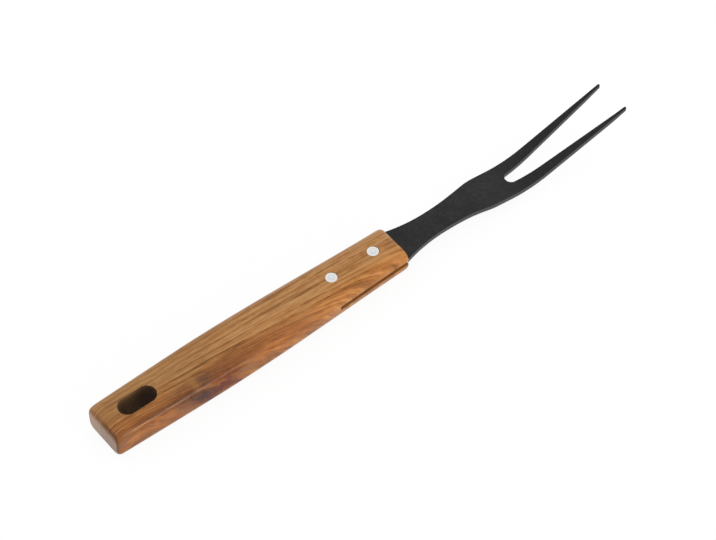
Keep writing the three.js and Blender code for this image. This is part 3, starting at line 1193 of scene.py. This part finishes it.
@dataclass
class Handle:
    """The wooden handle: a rounded bar, wider under the palm, with a hanging and a sawn slot.

    The places of its belly, slots and softer corners are distances from its butt.
    """

    butt: float = -189.7
    length: float = 208.2
    thickness: float = 20.0
    butt_width: float = 29.0
    belly_width: float = 33.095
    belly: float = 107.0
    front_width: float = 27.6
    top_radius: float = 5.0
    lower_radius: float = 5.5
    front_radius: float = 7.5
    softens: Span = (60.0, 140.0)
    butt_corner: float = 2.2
    butt_top: float = 6.0
    butt_lower: float = 4.0
    front_corner: float = 1.0
    front_top: float = 4.5
    front_lower: float = 4.0
    butt_flare: float = 1.29
    front_taper: float = 0.37
    corner_segments: int = 14
    end_steps: int = 10
    body_steps: int = 60
    slot_middle: float = 24.1
    slot_length: float = 24.5
    slot_width: float = 12.0
    slot_round: float = 0.8
    slot_round_steps: int = 4
    slot_nearness: float = 0.02
    saw_depth: float = 54.4
    saw_radius: float = 50.0
    saw_width: float = 3.1
    saw_sides: int = 256
    saw_edge_round: float = 0.12
    saw_edge_steps: int = 3
    side_nearness: float = 0.05
    smooth_angle: float = 38.0

    @property
    def front(self) -> float:
        """The front end's place along the fork."""
        return self.butt + self.length

    @property
    def middle(self) -> float:
        """Half the handle's thickness."""
        return self.thickness / 2

    @property
    def slot_reach(self) -> float:
        """Half the straight run of the hanging slot."""
        return (self.slot_length - self.slot_width) / 2

    @property
    def saw_middle(self) -> float:
        """The middle of the disc saw, from the butt."""
        return self.length - self.saw_depth + self.saw_radius

    def half_width(self, at: float) -> float:
        """Half the width before the corners are rounded.

        Args:
            at: The distance from the butt.

        Returns:
            The half width.
        """
        if at < self.belly:
            end, slope, t = self.butt_width, self.butt_flare, 1 - at / self.belly
        else:
            end, slope = self.front_width, self.front_taper
            t = (at - self.belly) / (self.length - self.belly)
        ease = smoothstep(t) + slope * (t**3 - t**2)
        return (self.belly_width - (self.belly_width - end) * ease) / 2

    def end_loss(self, butt: float, front: float, at: float) -> float:
        """How much the rounds at both ends take off a side, at a distance from the butt."""
        ends = ((butt, at), (front, self.length - at))
        return sum(radius - chord(radius, max(0.0, radius - from_end)) for radius, from_end in ends)

    def corners(self, at: float) -> list[tuple[float, float, float]]:
        """The section's rounded corners, which shrink where the ends round off.

        Args:
            at: The distance from the butt.

        Returns:
            The middles across and up and the radii of the four corners, in the order of QUARTERS.
        """
        half = self.half_width(at) - self.end_loss(self.butt_corner, self.front_corner, at)
        above = self.middle - self.end_loss(self.butt_top, self.front_top, at)
        below = self.middle - self.end_loss(self.butt_lower, self.front_lower, at)
        start, end = self.softens
        soft = smoothstep(min(1.0, max(0.0, (at - start) / (end - start))))
        corners = []
        for side, up in QUARTERS:
            rear, high = (self.top_radius, above) if up > 0 else (self.lower_radius, below)
            radius = (rear + (self.front_radius - rear) * soft) * high / self.middle
            corners.append((side * (half - radius), self.middle + up * (high - radius), radius))
        return corners

    def stations(self) -> list[float]:
        """Places from the butt at which the bar is shaped, close together at its ends.

        Returns:
            The places, in order.
        """
        ends = [math.cos(math.pi / 2 * k / self.end_steps) for k in range(self.end_steps)]
        butt = max(self.butt_corner, self.butt_top, self.butt_lower)
        front = max(self.front_corner, self.front_top, self.front_lower)
        body = self.length - butt - front
        return (
            [butt * (1 - c) for c in ends]
            + [butt + body * k / self.body_steps for k in range(self.body_steps + 1)]
            + [self.length - front * (1 - c) for c in reversed(ends)]
        )

    def in_quarter(self, place: Vector, side: int, up: int) -> bool:
        """Whether a place lies in one quarter of the section."""
        return place.y * side > 0 and (place.z - self.middle) * up > 0

    def bar(self) -> Workpiece:
        """Draws the butt's face, then extrudes it from station to station up to the front.

        Returns:
            The bar, closed.
        """
        stations = self.stations()
        clear_selection()
        bpy.ops.mesh.primitive_plane_add(size=MM, location=(0, 0, 0), rotation=(0, math.pi / 2, 0))
        piece = Workpiece("handle")
        first = self.corners(stations[0])
        corner = 0.5  # where the new plane's corners lie, across and up
        for (side, up), (y, z, radius) in zip(QUARTERS, first):
            start = Vector((0.0, side * corner, up * corner))
            piece.pick(lambda place: (place - start).length < TOUCH)
            piece.move(x=self.butt, y=y + side * (radius - corner), z=z + up * (radius - corner))
        for (side, up), (_, _, radius) in zip(QUARTERS, first):
            piece.pick(lambda place: self.in_quarter(place, side, up))
            piece.bevel(radius, self.corner_segments, corners=True)
        for before, after in zip(stations, stations[1:]):
            piece.pick_at(self.butt + before)
            piece.extrude(x=after - before)
            moves = zip(QUARTERS, self.corners(before), self.corners(after))
            for (side, up), (old_y, old_z, old), (new_y, new_z, new) in moves:
                piece.pick_at(self.butt + after, lambda place: self.in_quarter(place, side, up))
                piece.resize(new / old, old_y, old_z)
                piece.move(y=new_y - old_y, z=new_z - old_z)
        piece.close()
        return piece

    def hanging_slot(self) -> Workpiece:
        """Makes the cutter of the hanging slot: a round drill, pulled out to a slot.

        Returns:
            The cutter.
        """
        x = self.butt + self.slot_middle
        top = self.thickness + CUT_OVER
        cutter = drilling("slot", x, -CUT_OVER, top, self.slot_width / 2)
        for side in (1, -1):
            cutter.pick(lambda place: (place.x - x) * side > TOUCH)
            cutter.move(x=side * self.slot_reach)
        return cutter

    def saw(self) -> Workpiece:
        """Makes the disc saw that opens the slot for the tang.

        Returns:
            The saw.
        """
        clear_selection()
        bpy.ops.mesh.primitive_cylinder_add(
            vertices=self.saw_sides,
            radius=self.saw_radius * MM,
            depth=self.saw_width * MM,
            location=((self.butt + self.saw_middle) * MM, 0, self.middle * MM),
        )
        return Workpiece("saw")

    def on_slot_mouth(self, place: Vector, face: float) -> bool:
        """Looks for the rim of the hanging slot.

        Args:
            place: A place on the handle.
            face: The height of the top or the underside.

        Returns:
            Whether the place lies on the slot's rim in that face.
        """
        along = max(0.0, abs(place.x - self.butt - self.slot_middle) - self.slot_reach)
        off_wall = abs(math.hypot(along, place.y) - self.slot_width / 2)
        return abs(place.z - face) < TOUCH and off_wall < self.slot_nearness

    def on_saw_mouth(self, place: Vector) -> bool:
        """Looks for the rim of the sawn slot.

        Args:
            place: A place on the handle.

        Returns:
            Whether it lies on the slot's rim, in a side or in the front end.
        """
        y, _, radius = self.corners(min(place.x - self.butt, self.length))[0]
        outside = abs(place.y) > y + radius - self.side_nearness or place.x > self.front - TOUCH
        return outside and abs(abs(place.z - self.middle) - self.saw_width / 2) < TOUCH

    def ease_edges(self, piece: Workpiece) -> None:
        """Rounds the mouths of the hanging slot and of the sawn slot.

        Args:
            piece: The handle.
        """
        piece.take_up()
        for face in (0.0, self.thickness):
            piece.pick_edges(lambda *ends: all(self.on_slot_mouth(end, face) for end in ends))
            piece.bevel(self.slot_round, self.slot_round_steps)
        piece.pick_edges(
            lambda a, b: self.on_saw_mouth(a) and self.on_saw_mouth(b) and abs(a.z - b.z) < TOUCH
        )
        piece.bevel(self.saw_edge_round, self.saw_edge_steps)

    def build(self, rivets: Iterable[Rivet]) -> bpy.types.Object:
        """Makes the handle.

        Args:
            rivets: The rivets that are let into it.

        Returns:
            The finished object.
        """
        piece = self.bar()
        piece.cut(self.hanging_slot())
        piece.cut(self.saw())
        for rivet in rivets:
            rivet.drill(piece, seats=True)
        self.ease_edges(piece)
        return piece.smooth(self.smooth_angle)

    def dress(self, obj: bpy.types.Object, finish: OiledWood) -> None:
        """Gives the handle its finish."""
        obj.data.materials.append(finish.material())


@dataclass
class Blade:
    """The blade: one plate with tang, shoulders, neck, cheeks and two tines, bent twice.

    Places along it are distances from its shoulders, and widths are halves.
    """

    shoulder: float = 18.7
    tang_top: float = 11.5
    plate: float = 3.0
    tang_length: float = 53.4
    tang_half: float = 10.0
    tang_corner: float = 6.0
    shoulder_half: float = 12.6
    shoulder_step: float = 0.05
    neck: float = 29.3
    neck_half: float = 8.425
    cheek: float = 69.3
    cheek_half: float = 12.1
    cheek_ease_in: float = 24.0
    cheek_ease_out: float = 9.0
    crotch: float = 86.2
    crotch_radius: float = 4.0
    tine_root: float = 20.0
    tip: float = 171.0
    tip_half: float = 12.7
    tip_radius: float = 0.85
    tip_thickness: float = 2.1
    grind_length: float = 11.0
    grind_width: float = 2.4
    dip: float = 57.3
    dip_angle: float = 8.5
    dip_radius: float = 120.0
    rise: float = 95.3
    rise_angle: float = 13.2
    rise_radius: float = 75.0
    slope_step: float = 0.01
    edge_round: float = 0.38
    edge_steps: int = 3
    edge_angle: float = 50.0
    smooth_angle: float = 40.0
    tang_corner_steps: int = 8
    tang_steps: int = 4
    neck_steps: int = 16
    cheek_steps: int = 28
    palm_steps: int = 12
    crotch_steps: int = 16
    tine_steps: int = 10
    grind_steps: int = 8
    tip_steps: int = 7

    @property
    def crotch_centre(self) -> float:
        """The centre of the crotch's round."""
        return self.crotch + self.crotch_radius

    @property
    def tip_centre(self) -> float:
        """The centres of the tips' rounds."""
        return self.tip - self.tip_radius

    @property
    def grind(self) -> tuple[float, float]:
        """Where the tines' inner edges start to be ground, along the blade and across it."""
        return self.tip - self.grind_length, self.tip_half - self.grind_width

    def top(self, x: float) -> float:
        """Height of the plate's top face.

        Args:
            x: The distance from the shoulders.

        Returns:
            The height above the floor.
        """
        fall = math.radians(self.dip_angle)
        climb = math.radians(self.rise_angle)
        height = self.tang_top
        height -= math.tan(fall) * max(0.0, x - self.dip)
        height += (math.tan(fall) + math.tan(climb)) * max(0.0, x - self.rise)
        height += self.rounding(x, self.dip, 0.0, -fall, self.dip_radius)
        height += self.rounding(x, self.rise, -fall, climb, self.rise_radius)
        return height

    @staticmethod
    def rounding(x: float, corner: float, before: float, after: float, radius: float) -> float:
        """How far a rounded bend lies from the sharp corner of its two runs.

        Args:
            x: Where it is asked for.
            corner: Where the runs meet.
            before: Slope angle of the first run.
            after: Slope angle of the second run.
            radius: The bend's radius.

        Returns:
            The height to add to the sharp line.
        """
        way = 1.0 if after > before else -1.0
        reach = radius * math.tan(abs(after - before) / 2)
        start = corner - reach * math.cos(before)
        end = corner + reach * math.cos(after)
        if not start < x < end:
            return 0.0
        centre_x = start - way * radius * math.sin(before)
        centre_z = -reach * math.sin(before) + way * radius * math.cos(before)
        sharp = (x - corner) * math.tan(before if x < corner else after)
        return centre_z - way * chord(radius, x - centre_x) - sharp

    def root(self) -> tuple[float, float, float]:
        """Where a tine's straight inner edge leaves the crotch's round.

        Returns:
            Its place along the blade, its place across it, and its angle about the crotch's centre.
        """
        radius = self.crotch_radius
        grind_x, side = self.grind
        far = grind_x - self.crotch_centre
        angle = math.atan2(side, far) + math.acos(radius / math.hypot(far, side))
        return self.crotch_centre + radius * math.cos(angle), radius * math.sin(angle), angle

    @staticmethod
    def curve(points: list[tuple[float, float]], x: float) -> float:
        """Reads a Bezier curve that runs steadily along the blade.

        Args:
            points: Its control points.
            x: Where it is read.

        Returns:
            Its place across the blade.
        """
        low, high = 0.0, 1.0

        def at(t: float) -> Vector:
            """The curve's place at a share of its run.

            Args:
                t: The share.

            Returns:
                Its place along the blade and across it.
            """
            row = [Vector(point) for point in points]
            while len(row) > 1:
                row = [a.lerp(b, t) for a, b in zip(row, row[1:])]
            return row[0]

        for _ in range(HALVINGS):
            half = (low + high) / 2
            if at(half).x < x:
                low = half
            else:
                high = half
        return at(high).y

    def outer(self, x: float) -> float:
        """The plate's outer edge.

        Args:
            x: The distance from the shoulders.

        Returns:
            Its distance from the middle.
        """
        corner = self.tang_corner - self.tang_length
        if x <= corner:
            return self.tang_half - self.tang_corner + chord(self.tang_corner, corner - x)
        if x <= 0:
            return self.tang_half
        waist = (self.neck, self.neck_half)
        if x <= self.neck:
            return self.curve([(0, self.shoulder_half), (self.neck / 2, self.neck_half), waist], x)
        if x <= self.cheek:
            leave = (self.neck + self.cheek_ease_in, self.neck_half)
            arrive = (self.cheek - self.cheek_ease_out, self.cheek_half)
            return self.curve([waist, leave, arrive, (self.cheek, self.cheek_half)], x)
        if x <= self.tip_centre:
            share = (x - self.cheek) / (self.tip_centre - self.cheek)
            return self.cheek_half + (self.tip_half - self.cheek_half) * share
        return self.tip_half - self.tip_radius + chord(self.tip_radius, x - self.tip_centre)

    def inner(self, x: float) -> float:
        """A tine's inner edge, or the middle line before the crotch.

        Args:
            x: The distance from the shoulders.

        Returns:
            Its distance from the middle.
        """
        if x <= self.crotch:
            return 0.0
        root_x, root_y, _ = self.root()
        if x <= root_x:
            return chord(self.crotch_radius, x - self.crotch_centre)
        grind_x, grind_y = self.grind
        slope = (grind_y - root_y) / (grind_x - root_x)
        if x <= grind_x:
            return root_y + slope * (x - root_x)
        if x <= self.tip_centre:
            half = self.grind_length / 2
            bend = (grind_x + half, grind_y + slope * half)
            end = (self.tip_centre, self.tip_half - 2 * self.tip_radius)
            return self.curve([(grind_x, grind_y), bend, end], x)
        return self.tip_half - self.tip_radius - chord(self.tip_radius, x - self.tip_centre)

    def stations(self) -> list[float]:
        """Places along the plate at which its edges are set, from the tang's end to the tips.

        Returns:
            The places, in order.
        """

        def spread(start: float, end: float, count: int) -> list[float]:
            """Even places from the start up to the end, without the end."""
            return [start + (end - start) * k / count for k in range(count)]

        def turned(centre: float, radius: float, *turn: float) -> list[float]:
            """Places along the blade on an arc, whose angles are spread as places are."""
            return [centre + radius * math.cos(angle) for angle in spread(*turn)]

        root_x, _, root_angle = self.root()
        grind_x, _ = self.grind
        corner = self.tang_corner - self.tang_length
        fork = root_x + self.tine_root
        right = math.pi / 2
        return (
            turned(corner, self.tang_corner, math.pi, right, self.tang_corner_steps)
            + spread(corner, 0.0, self.tang_steps)
            + [0.0]
            + spread(self.shoulder_step, self.neck, self.neck_steps)
            + spread(self.neck, self.cheek, self.cheek_steps)
            + spread(self.cheek, self.crotch, self.palm_steps)
            + turned(self.crotch_centre, self.crotch_radius, math.pi, root_angle, self.crotch_steps)
            + spread(root_x, fork, self.tine_steps)
            + spread(fork, grind_x, self.tine_steps)
            + spread(grind_x, self.tip_centre, self.grind_steps)
            + turned(self.tip_centre, self.tip_radius, right, 0.0, self.tip_steps)
        )

    def half_plate(self) -> Workpiece:
        """Draws the top face of the left half, extruding its end edge from station to station.

        Returns:
            The open half.
        """
        stations = self.stations()
        clear_selection()
        bpy.ops.mesh.primitive_plane_add(size=MM)
        piece = Workpiece("blade")
        piece.gather()
        first = stations[0]
        piece.move(x=self.shoulder + first, y=self.inner(first), z=self.top(first))
        piece.extrude(y=self.outer(first) - self.inner(first))
        bpy.ops.mesh.select_all(action="SELECT")
        for before, after in zip(stations, stations[1:]):
            middle = (self.inner(before) + self.outer(before)) / 2
            piece.extrude(x=after - before, z=self.top(after) - self.top(before))
            there = self.shoulder + after
            for edge, take in ((self.outer, 1), (self.inner, -1)):
                piece.pick_at(there, lambda place: (place.y - middle) * take > 0)
                piece.move(y=edge(after) - edge(before))
            piece.pick_at(there)
        return piece

    def thickness(self, x: float) -> float:
        """The plate's upright thickness, more on its slopes and less where the tips are ground.

        Args:
            x: The distance from the shoulders.

        Returns:
            The thickness.
        """
        step = self.slope_step
        slope = (self.top(x + step) - self.top(x - step)) / (2 * step)
        ground = max(0.0, x - self.tip + self.grind_length) / self.grind_length
        square = self.plate - (self.plate - self.tip_thickness) * ground
        return square * math.hypot(1.0, slope)

    def thicken(self, piece: Workpiece) -> None:
        """Extrudes the top face downwards, then lifts or lowers the underside station by station.

        Args:
            piece: The top face.
        """
        bpy.ops.mesh.select_all(action="SELECT")
        piece.extrude(z=-self.plate)
        for x in self.stations():
            under = self.top(x) - self.plate / 2
            piece.pick_at(self.shoulder + x, lambda place: place.z < under)
            piece.move(z=self.plate - self.thickness(x))

    def build(self, rivets: Iterable[Rivet]) -> bpy.types.Object:
        """Makes the blade.

        Args:
            rivets: The rivets that pass its tang.

        Returns:
            The finished object.
        """
        piece = self.half_plate()
        across = (False, True, False)
        piece.modify("MIRROR", use_axis=across, use_mirror_merge=True, merge_threshold=WELD)
        piece.take_up()
        self.thicken(piece)
        piece.close()
        for rivet in rivets:
            rivet.drill(piece, seats=False)
        piece.modify(
            "BEVEL",
            width=self.edge_round * MM,
            segments=self.edge_steps,
            limit_method="ANGLE",
            angle_limit=math.radians(self.edge_angle),
        )
        return piece.smooth(self.smooth_angle)

    def dress(self, obj: bpy.types.Object, finish: BlackSteel) -> None:
        """Gives the blade its finish."""
        obj.data.materials.append(finish.material())


# Stage


@dataclass
class Studio:
    """A pale floor in an even pale room, one soft lamp at the front right, and the camera.

    Places and sizes are metres, and the camera's focal length is in pixels of the photograph.
    """

    target: Place = (-0.01321, -0.005556, 0.020)
    back: Place = (-0.387936, -0.480895, 0.786292)
    distance: float = 1.4380
    focal: float = 2500.0
    photo_width: float = 716.0
    sensor: float = 36.0
    horizon: float = 1.0
    zenith: float = 0.70
    floor_size: float = 30.0
    floor_colour: Colour = (0.90, 0.90, 0.90)
    floor_glow: float = 0.90
    floor_white: float = 1.03
    lamp_place: Place = (0.19, -1.51, 0.36)
    lamp_size: float = 0.2
    lamp_power: float = 6.8

    def floor(self) -> None:
        """Lays the floor, which shows white but keeps the shadow."""
        clear_selection()
        bpy.ops.mesh.primitive_plane_add(size=self.floor_size)
        floor = bpy.context.object
        floor.name = "studio_floor"
        shader = Shader.named("studio_floor")
        diffuse = shader.add("BsdfDiffuse", None, {"Color": self.floor_colour})
        glow = shader.add("Emission", None, {"Color": WHITE, "Strength": self.floor_white})
        camera, glossy, glass = (
            shader.add("LightPath", None, None, f"Is {kind} Ray")
            for kind in ("Camera", "Glossy", "Transmission")
        )
        seen = (camera * self.floor_glow).above(glossy.above(glass))
        mixed = shader.add("MixShader", None, {0: seen, 1: diffuse, 2: glow})
        shader.add("OutputMaterial", None, {"Surface": mixed})
        floor.data.materials.append(shader.owner)

    def world(self) -> None:
        """Gives the room an even pale light, a little weaker overhead."""
        world = bpy.data.worlds.new("studio")
        bpy.context.scene.world = world
        shader = Shader(world)
        way = shader.add("TexCoord", None, None, "Generated")
        height = shader.add("SeparateXYZ", None, {0: way}, "Z")
        level = self.horizon + height.above(0.0) * (self.zenith - self.horizon)
        sky = shader.add("Background", None, {"Color": WHITE, "Strength": level})
        shader.add("OutputWorld", None, {"Surface": sky})

    @staticmethod
    def hang(name: str, data: bpy.types.ID, place: Vector, view: Vector) -> bpy.types.Object:
        """Hangs a lamp or camera.

        Args:
            name: Its name.
            data: The lamp or camera.
            place: Where it hangs.
            view: The way that it looks.

        Returns:
            The object.
        """
        obj = bpy.data.objects.new(name, data)
        bpy.context.scene.collection.objects.link(obj)
        obj.location = place
        obj.rotation_euler = view.to_track_quat("-Z", "Y").to_euler()
        return obj

    def lamp(self) -> None:
        """Hangs the soft square lamp."""
        light = bpy.data.lights.new("front", "AREA")
        light.shape = "SQUARE"
        light.size = self.lamp_size
        light.energy = self.lamp_power
        place = Vector(self.lamp_place)
        self.hang("front", light, place, Vector(self.target) - place)

    def camera(self) -> None:
        """Sets the camera at the photograph's place."""
        data = bpy.data.cameras.new("camera")
        data.lens = self.sensor * self.focal / self.photo_width
        data.sensor_width = self.sensor
        back = Vector(self.back)
        place = Vector(self.target) + back * self.distance
        bpy.context.scene.camera = self.hang("camera", data, place, -back)

    def build(self) -> None:
        """Sets up floor, light and camera."""
        bpy.context.scene.view_settings.view_transform = "Standard"
        self.floor()
        self.world()
        self.lamp()
        self.camera()


def main() -> None:
    """Builds the fork and its stage."""
    logging.basicConfig(level=logging.INFO, format="%(name)s: %(message)s")
    handle = Handle()
    rivets = [Rivet(name, x, handle.thickness) for name, x in RIVET_PLACES.items()]
    wood = handle.build(rivets)
    handle.dress(wood, OiledWood(handle))
    hand_over(wood, Slot.WOOD, "wooden_handle")
    blade = Blade()
    steel = blade.build(rivets)
    blade.dress(steel, BlackSteel())
    hand_over(steel, Slot.STEEL, "fork_blade")
    for rivet in rivets:
        for half in RivetHalf:
            head = rivet.build(half)
            rivet.dress(head, TurnedAluminium())
            hand_over(head, Slot.RIVET, f"{rivet.name}_rivet_{half.value}")
    Studio().build()


if __name__ == "__main__":
    main()
